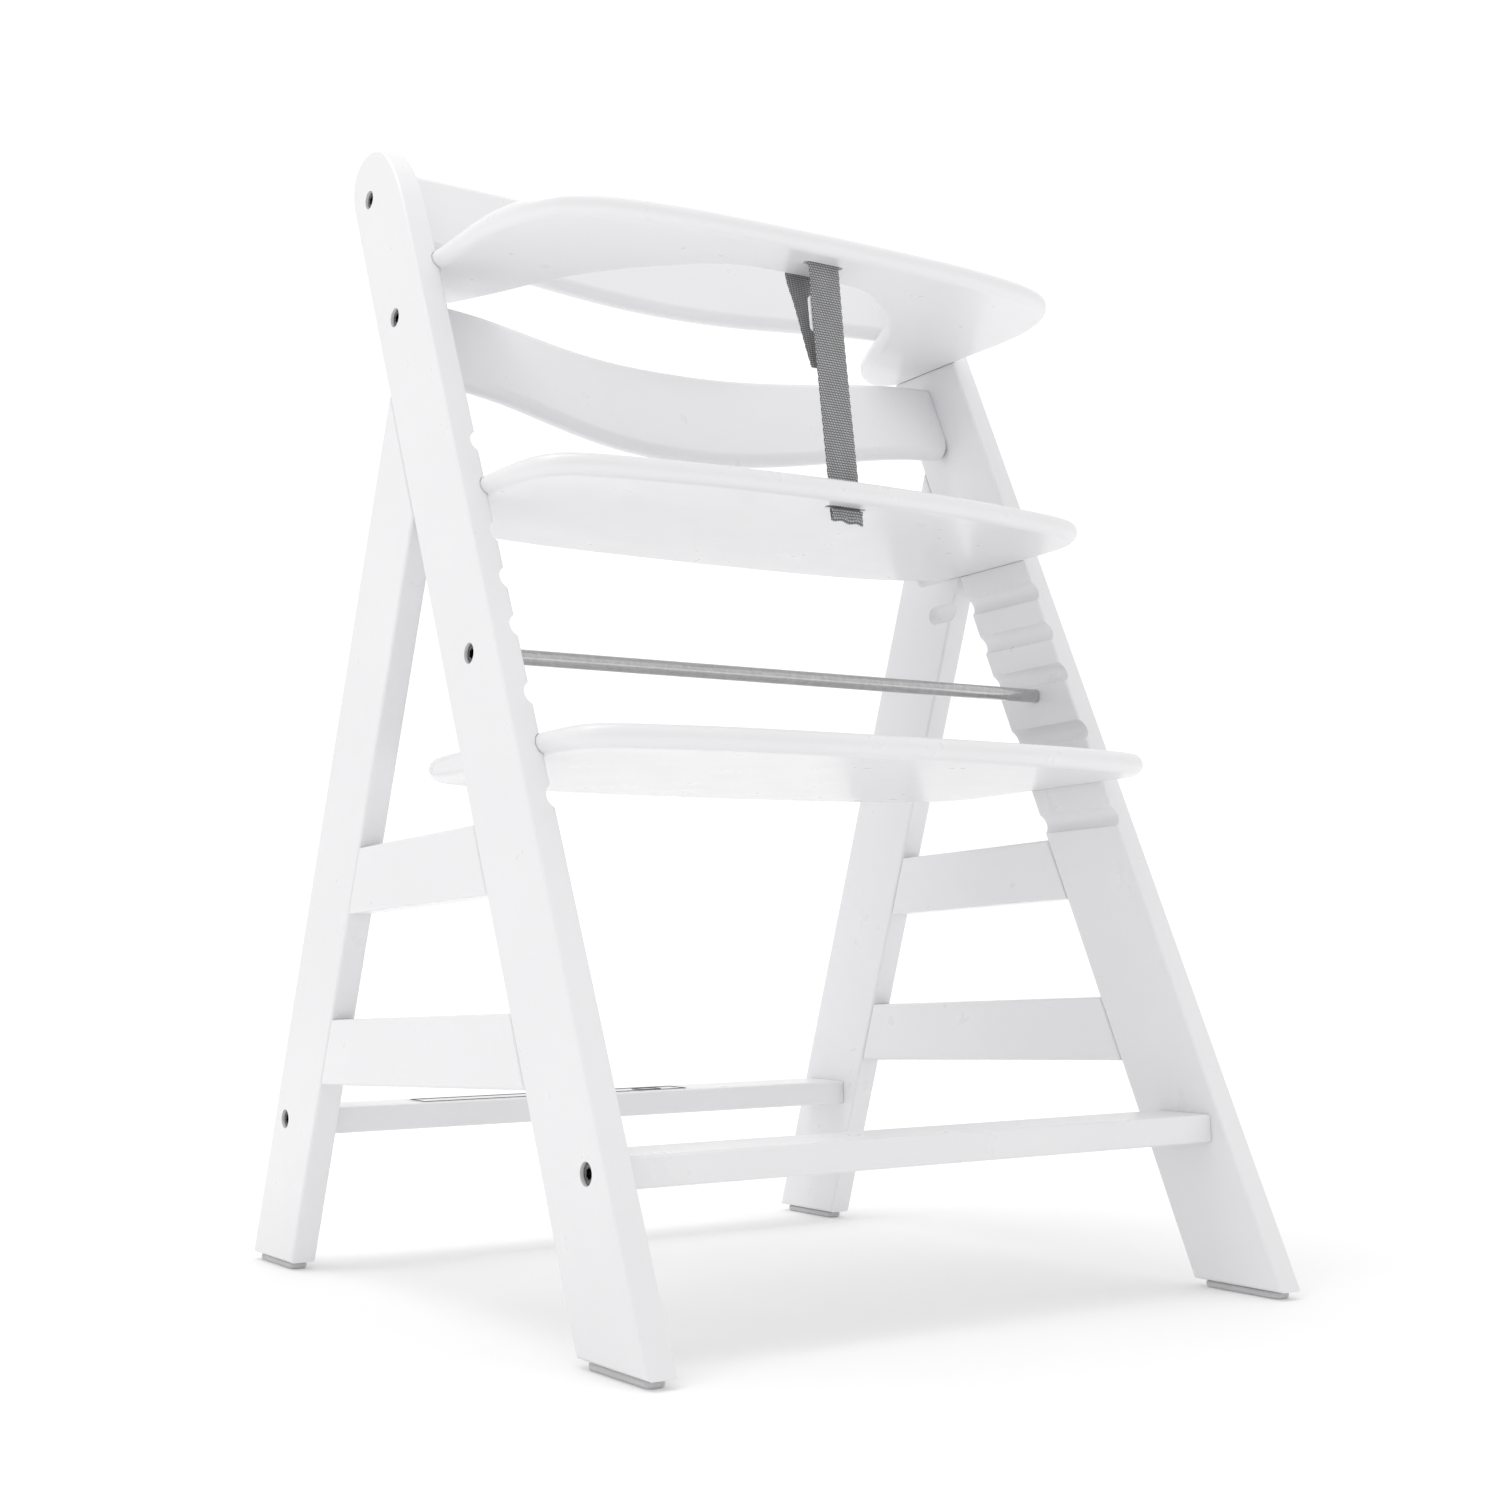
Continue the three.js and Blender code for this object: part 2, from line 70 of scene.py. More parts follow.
SEAT_SLOT_Y, TRAY_SLOT_Y = -129, -106.5

INNER = WIDTH / 2 - FRAME_T
BOARD_HALF = INNER + GROOVE_DEPTH - GAP
HEEL_Y = -STANCE / 2 + BEAM_W / math.cos(BEAM_LEAN)
SIDE_X = WIDTH / 2 - FRAME_T / 2
SPAN = INNER - GAP
TAN_B, TAN_L = math.tan(BEAM_LEAN), math.tan(LEG_LEAN)


# ---- curves and solids --------------------------------------------------
def spline(points, n):
    """Uniform Catmull-Rom curve through 2-D points, as n equal steps."""
    p = np.array(points, float)
    t = np.linspace(0, len(p) - 1, len(p) * 40)
    i = np.minimum(t.astype(int), len(p) - 2)
    w = (t - i)[:, None]
    a, b = p[np.maximum(i - 1, 0)], p[i]
    c, d = p[i + 1], p[np.minimum(i + 2, len(p) - 1)]
    v0, v1 = (c - a) / 2, (d - b) / 2
    q = (2 * b - 2 * c + v0 + v1) * w ** 3 + (-3 * b + 3 * c - 2 * v0 - v1) * w ** 2 + v0 * w + b
    s = np.concatenate([[0], np.cumsum(np.hypot(*np.diff(q, axis=0).T))])
    u = np.linspace(0, s[-1], n + 1)
    return [(float(np.interp(k, s, q[:, 0])), float(np.interp(k, s, q[:, 1]))) for k in u]


def inset(outline, d):
    """Closed 2-D outline moved inwards by d."""
    p = np.array(outline, float)
    area = np.sum(p[:, 0] * np.roll(p[:, 1], -1) - np.roll(p[:, 0], -1) * p[:, 1])
    e = np.roll(p, -1, 0) - p
    e /= np.linalg.norm(e, axis=1)[:, None]
    nrm = np.stack([-e[:, 1], e[:, 0]], 1) * np.sign(area)
    m = nrm + np.roll(nrm, 1, 0)
    return p + m * (2 / np.sum(m * m, 1))[:, None] * d


def new_object(name, verts, faces):
    me = bpy.data.meshes.new(name)
    me.from_pydata([(float(x) * 0.001, float(y) * 0.001, float(z) * 0.001) for x, y, z in verts], [], faces)
    bm = bmesh.new()
    bm.from_mesh(me)
    bmesh.ops.recalc_face_normals(bm, faces=bm.faces)
    bm.to_mesh(me)
    bm.free()
    o = bpy.data.objects.new(name, me)
    scene.collection.objects.link(o)
    return o


def loft(name, rings, caps=True):
    n = len(rings[0])
    verts = [v for r in rings for v in r]
    faces = [(r * n + i, r * n + (i + 1) % n, (r + 1) * n + (i + 1) % n, (r + 1) * n + i)
             for r in range(len(rings) - 1) for i in range(n)]
    if caps:
        top = (len(rings) - 1) * n
        faces += [tuple(range(n)), tuple(top + i for i in range(n))]
    return new_object(name, verts, faces)


def board(name, outline, t, r, steps, at):
    """Board of thickness t from an outline, with its edges rounded to radius r."""
    rings = []
    for lower in (True, False):
        for k in range(0 if lower or t > 2 * r + 1e-6 else 1, steps + 1):
            a = (-90 + 90 * k / steps if lower else 90 * k / steps) * RAD
            h = (-t / 2 + r if lower else t / 2 - r) + r * math.sin(a)
            rings.append([at(p[0], p[1], h) for p in inset(outline, r * (1 - math.cos(a)))])
    return loft(name, rings)


def turned(name, profile, x, y, z, direction, seg):
    """Turned solid on an X axis; the profile is (radius, distance)."""
    rings = []
    for r, d in profile:
        rr = max(r, 0.01)
        rings.append([(x + direction * d, y + rr * math.cos(2 * math.pi * i / seg),
                       z + rr * math.sin(2 * math.pi * i / seg)) for i in range(seg)])
    return loft(name, rings)


def mirrored(o, name):
    me = o.data.copy()
    me.transform(Matrix.Scale(-1, 4, Vector((1, 0, 0))))
    me.flip_normals()
    m = bpy.data.objects.new(name, me)
    scene.collection.objects.link(m)
    return m


def join(parts):
    bm = bmesh.new()
    for p in parts:
        bm.from_mesh(p.data)
        bpy.data.objects.remove(p)
    me = bpy.data.meshes.new("joined")
    bm.to_mesh(me)
    bm.free()
    o = bpy.data.objects.new("joined", me)
    scene.collection.objects.link(o)
    return o


def cut(o, tools, bevel=0.0):
    """Takes the tools out of o, then eases the new edges."""
    tool = join(tools)
    mod = o.modifiers.new("cut", "BOOLEAN")
    mod.object, mod.solver, mod.operation = tool, "EXACT", "DIFFERENCE"
    if bevel:
        b = o.modifiers.new("ease", "BEVEL")
        b.width, b.segments, b.limit_method, b.angle_limit = bevel * 0.001, 2, "ANGLE", 38 * RAD
        b.use_clamp_overlap = True
    me = bpy.data.meshes.new_from_object(o.evaluated_get(bpy.context.evaluated_depsgraph_get()))
    o.modifiers.clear()
    o.data = me
    bpy.data.objects.remove(tool)
    return o


def finish_piece(o, body, slot, material, nodes=(), angle=32, weighted=True):
    """Shading, material and body of a finished piece; the slot argument is not used."""
    me = o.data
    me.name = o.name
    me.materials.clear()
    me.materials.append(material)
    me.polygons.foreach_set("use_smooth", [True] * len(me.polygons))
    me.set_sharp_from_angle(angle=angle * RAD)
    if weighted:
        w = o.modifiers.new("normals", "WEIGHTED_NORMAL")
        w.keep_sharp, w.weight, w.mode = True, 70, "FACE_AREA_WITH_ANGLE"
    if body:
        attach(o, body)
    if nodes:
        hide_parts(*nodes)
    return o


# ---- materials ----------------------------------------------------------
class Nodes:
    """Short-hand for building a material's node tree."""

    def __init__(self, name, **sockets):
        self.m = bpy.data.materials.new(name)
        self.m.use_nodes = True
        self.t = self.m.node_tree
        self.bsdf = self.t.nodes["Principled BSDF"]
        for key, value in sockets.items():
            self.bsdf.inputs[key.replace("_", " ")].default_value = value

    def add(self, kind, props=None, **inputs):
        n = self.t.nodes.new("ShaderNode" + kind)
        for k, v in (props or {}).items():
            setattr(n, k, v)
        for k, v in inputs.items():
            s = n.inputs[int(k[1:])] if k[0] == "i" and k[1:].isdigit() else n.inputs[k.replace("_", " ")]
            if isinstance(v, bpy.types.NodeSocket):
                self.t.links.new(v, s)
            else:
                s.default_value = v
        return n

    def coords(self, rotation=(0, 0, 0), scale=(1, 1, 1)):
        c = self.add("TexCoord").outputs["Object"]
        r = self.add("VectorRotate", {"rotation_type": "EULER_XYZ"}, Vector=c, Rotation=rotation)
        return self.add("VectorMath", {"operation": "MULTIPLY"}, i0=r.outputs[0], i1=scale).outputs[0]

    def noise(self, vector, scale, detail=3.0, rough=0.5):
        return self.add("TexNoise", Vector=vector, Scale=scale, Detail=detail, Roughness=rough).outputs["Fac"]

    def ramp(self, value, lo, hi, a, b):
        return self.add("MapRange", Value=value, From_Min=lo, From_Max=hi, To_Min=a, To_Max=b).outputs[0]

    def mix(self, fac, a, b, blend="MIX"):
        n = self.add("Mix", {"data_type": "RGBA", "blend_type": blend})
        for s, v in ((n.inputs[0], fac), (n.inputs[6], a), (n.inputs[7], b)):
            if isinstance(v, bpy.types.NodeSocket):
                self.t.links.new(v, s)
            else:
                s.default_value = v
        return n.outputs[2]

    def math(self, op, a, b=0.0, c=0.0):
        return self.add("Math", {"operation": op}, i0=a, i1=b, i2=c).outputs[0]

    def link(self, out, socket):
        self.t.links.new(out, self.bsdf.inputs[socket])

    def bump(self, height, strength, distance, below=None):
        n = self.add("Bump", Height=height, Strength=strength, Distance=distance)
        if below is not None:
            self.t.links.new(below, n.inputs["Normal"])
        return n.outputs[0]


def lacquer(name, rotation, tone=0.825):
    """Sprayed satin white lacquer over close-grained wood; the grain runs along the turned X axis."""
    m = Nodes(name, Roughness=0.4, IOR=1.46, Coat_Weight=0.35, Coat_Roughness=0.16)
    along = m.coords(rotation, (1.6, 60, 60))
    fine = m.coords(rotation, (14, 520, 520))
    even = m.coords(rotation)
    cloud = m.noise(even, 9, 4, 0.55)
    base = m.mix(m.ramp(cloud, 0.3, 0.7, 0, 1), (tone * 0.985, tone * 0.98, tone * 0.996, 1),
                 (tone * 1.01, tone * 1.004, tone * 1.02, 1))
    grain = m.noise(along, 1.0, 5, 0.62)
    base = m.mix(m.ramp(grain, 0.56, 0.74, 0, 0.05), base, (tone * 0.93, tone * 0.925, tone * 0.92, 1))
    m.link(base, "Base Color")
    pores = m.noise(fine, 1.0, 2, 0.6)
    peel = m.noise(even, 620, 2, 0.5)
    m.link(m.ramp(m.noise(even, 38, 3, 0.6), 0.3, 0.7, 0.27, 0.38), "Roughness")
    n1 = m.bump(grain, 0.12, 0.0002)
    n2 = m.bump(pores, 0.05, 0.00008, n1)
    m.link(m.bump(peel, 0.10, 0.00006, n2), "Normal")
    return m.m


LACQUER_X = lacquer("lacquer_boards", (0, 0, 0))
LACQUER_BEAM = lacquer("lacquer_beam", (BEAM_LEAN, 90 * RAD, 0))
LACQUER_LEG = lacquer("lacquer_leg", (-LEG_LEAN, 90 * RAD, 0))
LACQUER_RAIL = lacquer("lacquer_rail", (0, 0, 90 * RAD))


def steel(name, tone, rough):
    m = Nodes(name, Metallic=1.0, Roughness=rough)
    v = m.coords((0, 0, 0), (60, 900, 900))
    draw = m.noise(v, 1.0, 3, 0.6)
    spot = m.noise(m.coords(), 260, 3, 0.6)
    base = m.mix(m.ramp(spot, 0.35, 0.7, 0, 1), (tone, tone, tone * 1.01, 1),
                 (tone * 1.18, tone * 1.17, tone * 1.16, 1))
    m.link(base, "Base Color")
    m.link(m.ramp(draw, 0.3, 0.7, rough * 0.8, rough * 1.25), "Roughness")
    m.link(m.bump(draw, 0.12, 0.00005), "Normal")
    return m.m


def plastic(name, colour, rough, grain_scale=900.0):
    m = Nodes(name, Roughness=rough, IOR=1.5)
    v = m.coords()
    cloud = m.noise(v, 60, 3, 0.5)
    dim, pale = (*[x * 0.96 for x in colour], 1), (*[min(1, x * 1.03) for x in colour], 1)
    m.link(m.mix(m.ramp(cloud, 0.3, 0.7, 0, 1), dim, pale), "Base Color")
    tex = m.noise(v, grain_scale, 2, 0.5)
    m.link(m.ramp(m.noise(v, 150, 3, 0.6), 0.3, 0.7, rough * 0.85, rough * 1.15), "Roughness")
    m.link(m.bump(tex, 0.2, 0.00006), "Normal")
    return m.m


PICK, ENDS = 1.8, 38     # weft spacing, and warp threads across the webbing


def webbing(name):
    """Plain-woven polyester tape; UVs run in cells of the weave, across and along."""
    m = Nodes(name, Roughness=0.82, Sheen_Weight=0.25, Sheen_Roughness=0.5)
    uv = m.add("UVMap", {"uv_map": "weave"}).outputs[0]
    sep = m.add("SeparateXYZ", Vector=uv)
    u, v = sep.outputs[0], sep.outputs[1]
    over = m.math("MULTIPLY", m.math("SINE", m.math("MULTIPLY", u, math.pi)),
                  m.math("SINE", m.math("MULTIPLY", v, math.pi)))
    rib = m.math("POWER", m.math("SINE", m.math("MULTIPLY", v, math.pi)), 2.0)
    warp = m.ramp(m.math("MULTIPLY_ADD", rib, 0.42, m.math("MULTIPLY", over, 0.62)), 0.16, 0.80, 0, 1)
    drawn = m.add("VectorMath", {"operation": "MULTIPLY"}, i0=uv, i1=(5, 1.2, 1)).outputs[0]
    fibre = m.noise(drawn, 2.2, 4, 0.7)
    dark, light = (0.045, 0.046, 0.05, 1), (0.78, 0.785, 0.795, 1)
    base = m.mix(warp, dark, light)
    base = m.mix(m.ramp(fibre, 0.35, 0.75, 0, 0.35), base, (0.60, 0.605, 0.61, 1))
    base = m.mix(m.ramp(m.noise(uv, 0.09, 3, 0.6), 0.35, 0.7, 0, 0.22), base, (0.12, 0.12, 0.125, 1))
    m.link(base, "Base Color")
    m.link(m.ramp(fibre, 0.3, 0.7, 0.72, 0.92), "Roughness")
    n1 = m.bump(over, 0.5, 0.0002)
    m.link(m.bump(fibre, 0.35, 0.0001, n1), "Normal")
    return m.m


ROD_STEEL = steel("rod_steel", 0.50, 0.16)
BOLT_STEEL = steel("bolt_steel", 0.105, 0.28)
BRASS = steel("insert_brass", 0.3, 0.35)
GLIDE_MAT = plastic("glide_plastic", (0.56, 0.56, 0.565), 0.45)
CLIP_MAT = plastic("slider_plastic", (0.86, 0.86, 0.865), 0.3)
WEB_MAT = webbing("grey_webbing")
THREAD = plastic("thread", (0.33, 0.335, 0.34), 0.8)
LABEL_MAT = plastic("blank_label", (0.83, 0.83, 0.83), 0.35)
INK_MAT = plastic("label_mark", (0.09, 0.09, 0.092), 0.5)


# ---- side frames --------------------------------------------------------
def on_beam(s, n):
    return (HEEL_Y + s * math.sin(BEAM_LEAN) - n * math.cos(BEAM_LEAN),
            FOOT_H + s * math.cos(BEAM_LEAN) + n * math.sin(BEAM_LEAN))


def leg_front(z):
    return STANCE / 2 - LEG_W / math.cos(LEG_LEAN) - (z - FOOT_H) * TAN_L


def leg_back(z):
    return STANCE / 2 - (z - FOOT_H) * TAN_L


def side_at(y, z, h):
    return (SIDE_X + h, y, z)


def groove_tool(s, start, end, round_end=False):
    y, z = on_beam(s, BEAM_W)
    seg = 56
    stations = [(start, 1.0), (end, 1.0)]
    if round_end:
        stations += [(end + 7.8 * math.sin(a * RAD), math.cos(a * RAD)) for a in range(10, 90, 10)]
    rings = []
    for d, k in stations:
        ring = []
        for i in range(seg):
            a = (i + 0.5) * 2 * math.pi / seg
            b = GROOVE_R * k * math.sin(a)
            ring.append((INNER + GROOVE_DEPTH - GROOVE_R + GROOVE_R * k * math.cos(a),
                         y + math.cos(BOARD_SLOPE) * d + b * math.sin(BOARD_SLOPE),
                         z - math.sin(BOARD_SLOPE) * d + b * math.cos(BOARD_SLOPE)))
        rings.append(ring)
    return loft("tool", rings)


BOLT_AT = {
    "slat_upper": on_beam(SLATS["upper"]["bolt"], SLATS["upper"]["n"]),
    "slat_lower": on_beam(SLATS["lower"]["bolt"], SLATS["lower"]["n"]),
    "rod": ROD_AT, "bar_front": (FRONT_BAR_Y - 13.4, BAR_Z), "bar_rear": (REAR_BAR_Y + 13.6, BAR_Z),
}


def bolt_hole(at):
    d = RECESS + HEAD_H + 0.6
    return turned("tool", [(0, -1), (HEAD_R + 0.5, -1), (HEAD_R + 0.5, d), (SHANK_R + 0.4, d),
                           (SHANK_R + 0.4, FRAME_T + 1), (0, FRAME_T + 1)], WIDTH / 2, at[0], at[1], -1, 48)


def add_pair(o, stem, slot, material, **kw):
    """The right-hand piece o and its mirror image, each in place of its CAD node."""
    o.name = stem + "_right_fine"
    twin = mirrored(o, stem + "_left_fine")
    finish_piece(o, "frame", slot, material, (stem + "_right",), **kw)
    finish_piece(twin, "frame", slot, material, (stem + "_left",), **kw)


TOP = [(812, 0), (826, 1.2), (836.5, 6), (843, 14), (845, 24), (842.5, 36), (836, 47), (826.5, 55.5),
       (815, 61), (800, 65.5), (780, 68.7), (755, 70)]
beam_outline = [on_beam(0, 0)] + [on_beam(*p) for p in spline(TOP, 64)] + [on_beam(-BEAM_W * TAN_B, BEAM_W)]
beam = board("beam", beam_outline, FRAME_T, EDGE_R, 4, side_at)
tools = [groove_tool(s, -30, 130) for s in [TRAY_S] + SEAT_STEPS + FOOT_STEPS]
tools += [bolt_hole(BOLT_AT[k]) for k in ("slat_upper", "slat_lower", "rod", "bar_front")]
add_pair(cut(beam, tools, 0.5), "beam", "lacquer", LACQUER_BEAM)


def seam_z(line):
    y0, y1 = line(FOOT_H), HEEL_Y + GAP / math.cos(BEAM_LEAN)
    return FOOT_H + (y0 - y1) / (TAN_B + TAN_L)


z_crotch, z_head = seam_z(leg_front), seam_z(leg_back)
leg_outline = [(leg_back(FOOT_H), FOOT_H), (leg_back(z_head), z_head), (leg_front(z_crotch), z_crotch),
               (leg_front(FOOT_H), FOOT_H)]
leg = board("leg", leg_outline, FRAME_T, EDGE_R, 4, side_at)
tools = [groove_tool(s, 20, LEG_GROOVE_END - 7.7, True) for s in SEAT_STEPS[:3]]
tools.append(bolt_hole(BOLT_AT["bar_rear"]))
add_pair(cut(leg, tools, 0.5), "leg", "lacquer", LACQUER_LEG)

for i, (ym, zm) in enumerate(RAIL_MID):
    half, k = RAIL_H / 2 / math.cos(RAIL_SLOPE), math.tan(RAIL_SLOPE)
    corners = []
    for front, up in ((False, -1), (False, 1), (True, 1), (True, -1)):
        c = zm + up * half
        y0 = HEEL_Y + GAP / math.cos(BEAM_LEAN) if front else leg_front(FOOT_H) - GAP / math.cos(LEG_LEAN)
        t = TAN_B if front else -TAN_L
        z = (c + k * ym - k * y0 + k * t * FOOT_H) / (1 + k * t)
        corners.append((y0 + (z - FOOT_H) * t, z))
    add_pair(board("rail", corners, FRAME_T, EDGE_R, 4, side_at),
             "rail_lower" if i else "rail_upper", "lacquer",
             LACQUER_RAIL)


def rounded_box(w, d, r, n):
    out = []
    for cx, cy, a0 in ((1, 1, 0), (-1, 1, 90), (-1, -1, 180), (1, -1, 270)):
        for k in range(n + 1):
            a = (a0 + 90 * k / n) * RAD
            out.append((cx * (w / 2 - r) + r * math.cos(a), cy * (d / 2 - r) + r * math.sin(a)))
    return out


for end, sign, length in (("front", -1, BEAM_W / math.cos(BEAM_LEAN)),
                          ("rear", 1, LEG_W / math.cos(LEG_LEAN))):
    y, h = sign * (STANCE / 2 - length / 2), FOOT_H - GAP
    add_pair(board("glide", rounded_box(12.6, length - 12, 4.5, 12), h, 2, 8,
                   lambda x, v, k, y=y, h=h: (SIDE_X + x, y + v, h / 2 + k)),
             "glide_" + end, "glide", GLIDE_MAT)

# ---- cross members ------------------------------------------------------
for end, y in (("front", FRONT_BAR_Y), ("rear", REAR_BAR_Y)):
    section = rounded_box(BAR_D, BAR_H, 2, 6)
    stations = [-SPAN] + [x for x in np.linspace(-SPAN + 2, SPAN - 2, 15)] + [SPAN]
    bar = loft("crossbar_%s_fine" % end, [[(x, y + p[0], BAR_Z + p[1]) for p in section] for x in stations])
    finish_piece(bar, "frame", "lacquer", LACQUER_X, ("crossbar_" + end,))

rod = turned("rod_fine", [(0, 0), (ROD_R - 0.6, 0), (ROD_R - 0.2, 0.15), (ROD_R, 0.6)]
             + [(ROD_R, d) for d in np.linspace(40, 2 * SPAN - 40, 10)]
             + [(ROD_R, 2 * SPAN - 0.6), (ROD_R - 0.2, 2 * SPAN - 0.15), (ROD_R - 0.6, 2 * SPAN),
                 (0, 2 * SPAN)],
             -SPAN, ROD_AT[0], ROD_AT[1], 1, 64)
finish_piece(rod, "frame", "rod", ROD_STEEL, ("rod",))


def slat(name, s):
    """Back slat: rounded board, bowed to the back between straight ends, its corners rounded."""
    xs = np.unique(np.concatenate([np.linspace(-SPAN + SLAT_CORNER, SPAN - SLAT_CORNER, 121),
                                   *[q * (SPAN - SLAT_CORNER * (1 - np.sin(np.linspace(0, 90, 13) * RAD)))
                                     for q in (-1, 1)]]))
    bow = lambda x: s["bow"] * math.cos(math.pi / 2 * min(1, abs(x / SPAN)) ** 1.15) ** 2
    rings = []
    for x in xs:
        slope, mid = (bow(x + 0.5) - bow(x - 0.5)), math.cos(math.pi / 2 * x / SPAN) ** 2
        past = max(0.0, abs(x) - (SPAN - SLAT_CORNER))
        corner = SLAT_CORNER - math.sqrt(max(0.0, SLAT_CORNER ** 2 - past ** 2))
        low, high = s["low"] - s["drop"] * mid + corner, s["high"] + s["rise"] * mid
        c, r, k = s["n"] - bow(x), SLAT_T / 2, math.hypot(1, slope)
        ring = []
        for cs, a0 in ((high - r, -90), (low + r, 90)):
            for j in range(17):
                a = (a0 + 180 * j / 16) * RAD
                ring.append((x, *on_beam(cs + r * math.cos(a), c + r * k * math.sin(a))))
        rings.append(ring)
    return loft(name, rings)


for which, s in SLATS.items():
    finish_piece(slat("slat_%s_fine" % which, s), "frame", "lacquer", LACQUER_X, ("slat_" + which,))


def hexagon(apothem, i, seg):
    a = 2 * math.pi * i / seg
    r = apothem / math.cos((a + math.pi / 6) % (math.pi / 3) - math.pi / 6)
    return r * math.cos(a), r * math.sin(a)


def bolt(y, z):
    """Cap bolt sunk in the side board: rounded head, hexagon socket with a countersunk mouth."""
    seg, t, rings = 72, RECESS, []
    circle = lambda r: [(r * math.cos(a), r * math.sin(a))
                        for a in (2 * math.pi * i / seg for i in range(seg))]
    hexa = [hexagon(SOCKET, i, seg) for i in range(seg)]
    small = [(a * 0.05, b * 0.05) for a, b in hexa]
    mouth = [(a * 0.35 + b[0] * 0.65, a2 * 0.35 + b[1] * 0.65)
             for (a, a2), b in zip(circle(SOCKET * 1.28), hexa)]
    for section, d in ((small, t + SOCKET_D + 0.5), (hexa, t + SOCKET_D), (hexa, t + 0.45), (mouth, t + 0.22),
                       (circle(SOCKET * 1.30), t + 0.02), (circle(SOCKET * 1.36), t),
                        (circle(HEAD_R - 1.1), t),
                       (circle(HEAD_R - 0.75), t + 0.06), (circle(HEAD_R - 0.4), t + 0.22),
                        (circle(HEAD_R - 0.12), t + 0.5),
                       (circle(HEAD_R), t + 0.95), (circle(HEAD_R), t + HEAD_H),
                        (circle(SHANK_R), t + HEAD_H),
                       (circle(SHANK_R), BOLT_L - 1), (circle(SHANK_R - 1), BOLT_L)):
        rings.append([(WIDTH / 2 - d, y + a, z + b) for a, b in section])
    return loft("bolt", rings)


for stem, (y, z) in BOLT_AT.items():
    add_pair(bolt(y, z), "bolt_" + stem, "bolt", BOLT_STEEL, angle=40)
for n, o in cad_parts.items():
    if n.startswith("insert_"):
        o.data.materials.clear()
        o.data.materials.append(BRASS)


# ---- boards in the grooves ----------------------------------------------
def board_place(s):
    y, z = on_beam(s, BEAM_W)
    c, q = math.cos(BOARD_SLOPE), math.sin(BOARD_SLOPE)

    def at(x, v, h):
        d = (v - y) / c
        return (x, y + d * c + h * q, z - d * q + h * c)
    return at


def both_sides(half):
    return list(half) + [(-x, y) for x, y in reversed(half[1:-1])]


def slot_tool(s, v):
    at, r = board_place(s), rounded_box(SLOT[0], SLOT[1], SLOT[1] / 2 - 0.01, 10)
    return loft("tool", [[at(p[0], v + p[1], h) for p in r] for h in (-20, 20)])


SEAT = [[(0, -149), (50, -148), (100, -145), (142, -140.5), (175, -135.5), (199, -130), (213, -122.5),
         (222, -109.5),
         (226.5, -92), (BOARD_HALF, -68)],
        [(BOARD_HALF, 8), (226.5, 26), (220, 41), (208, 53), (190, 62), (158, 70.5), (100, 76), (0, 78.5)]]
FOOT = [[(0, -199), (60, -198.5), (110, -196.8), (150, -193.5), (183, -188.5), (204, -184), (218.5, -176.5),
         (226, -163), (228.2, -145), (BOARD_HALF, -122)],
        [(BOARD_HALF, 2), (226.5, 25), (219.5, 41), (204.5, 54.5), (180, 65), (130, 74), (70, 79), (0, 80.5)]]
TRAY = [[(0, -129.5), (60, -128.5), (110, -126.5), (150, -122), (180, -115.8), (201, -107), (213.5, -94.5),
         (222.5, -77.5), (227.8, -56), (229.5, -30), (229, -5), (BOARD_HALF, 22)],
        [(BOARD_HALF, 92), (227, 102), (222, 110), (213, 115), (203, 114.5), (192, 107), (182, 95), (173, 79),
         (161, 55), (149, 28), (135, 2), (118, -21), (97, -42), (76, -60), (58, -71), (38, -75.5),
          (0, -76.5)]]


def nosed(name, halves, s, counts):
    half = [p for h, n in zip(halves, counts) for p in spline(h, n)]
    return board(name, both_sides(half), BOARD_T, BOARD_T / 2, 12, board_place(s))


seat = cut(nosed("seat_board_fine", SEAT, SEAT_S, (90, 70)), [slot_tool(SEAT_S, SEAT_SLOT_Y)], 0.6)
finish_piece(seat, "seat", "lacquer", LACQUER_X, ("seat_board",))
foot = nosed("foot_board_fine", FOOT, FOOT_S, (90, 70))
finish_piece(foot, "foot", "lacquer", LACQUER_X, ("foot_board",))
tray = cut(nosed("tray_fine", TRAY, TRAY_S, (100, 170)), [slot_tool(TRAY_S, TRAY_SLOT_Y)], 0.6)
finish_piece(tray, "frame", "lacquer", LACQUER_X, ("tray",))

# ---- crotch strap -------------------------------------------------------
tray_at, seat_at = board_place(TRAY_S), board_place(SEAT_S)
yz = lambda p: (p[1], p[2])
half, off = BOARD_T / 2, BOARD_T / 2 + 0.5 + STRAP_T / 2
front_top, front_low = yz(tray_at(0, TRAY_SLOT_Y - 0.2, 0)), yz(seat_at(0, SEAT_SLOT_Y + 1.5, half + 3.5))
run = (front_low[0] - front_top[0], front_low[1] - front_top[1])
run_l = math.hypot(*run)
run_d = (run[0] / run_l, run[1] / run_l)


def along_run(a, d, h):
    """Point a across, d down the front run, h behind it."""
    return (a, front_top[0] + run_d[0] * d - run_d[1] * h, front_top[1] + run_d[1] * d + run_d[0] * h)


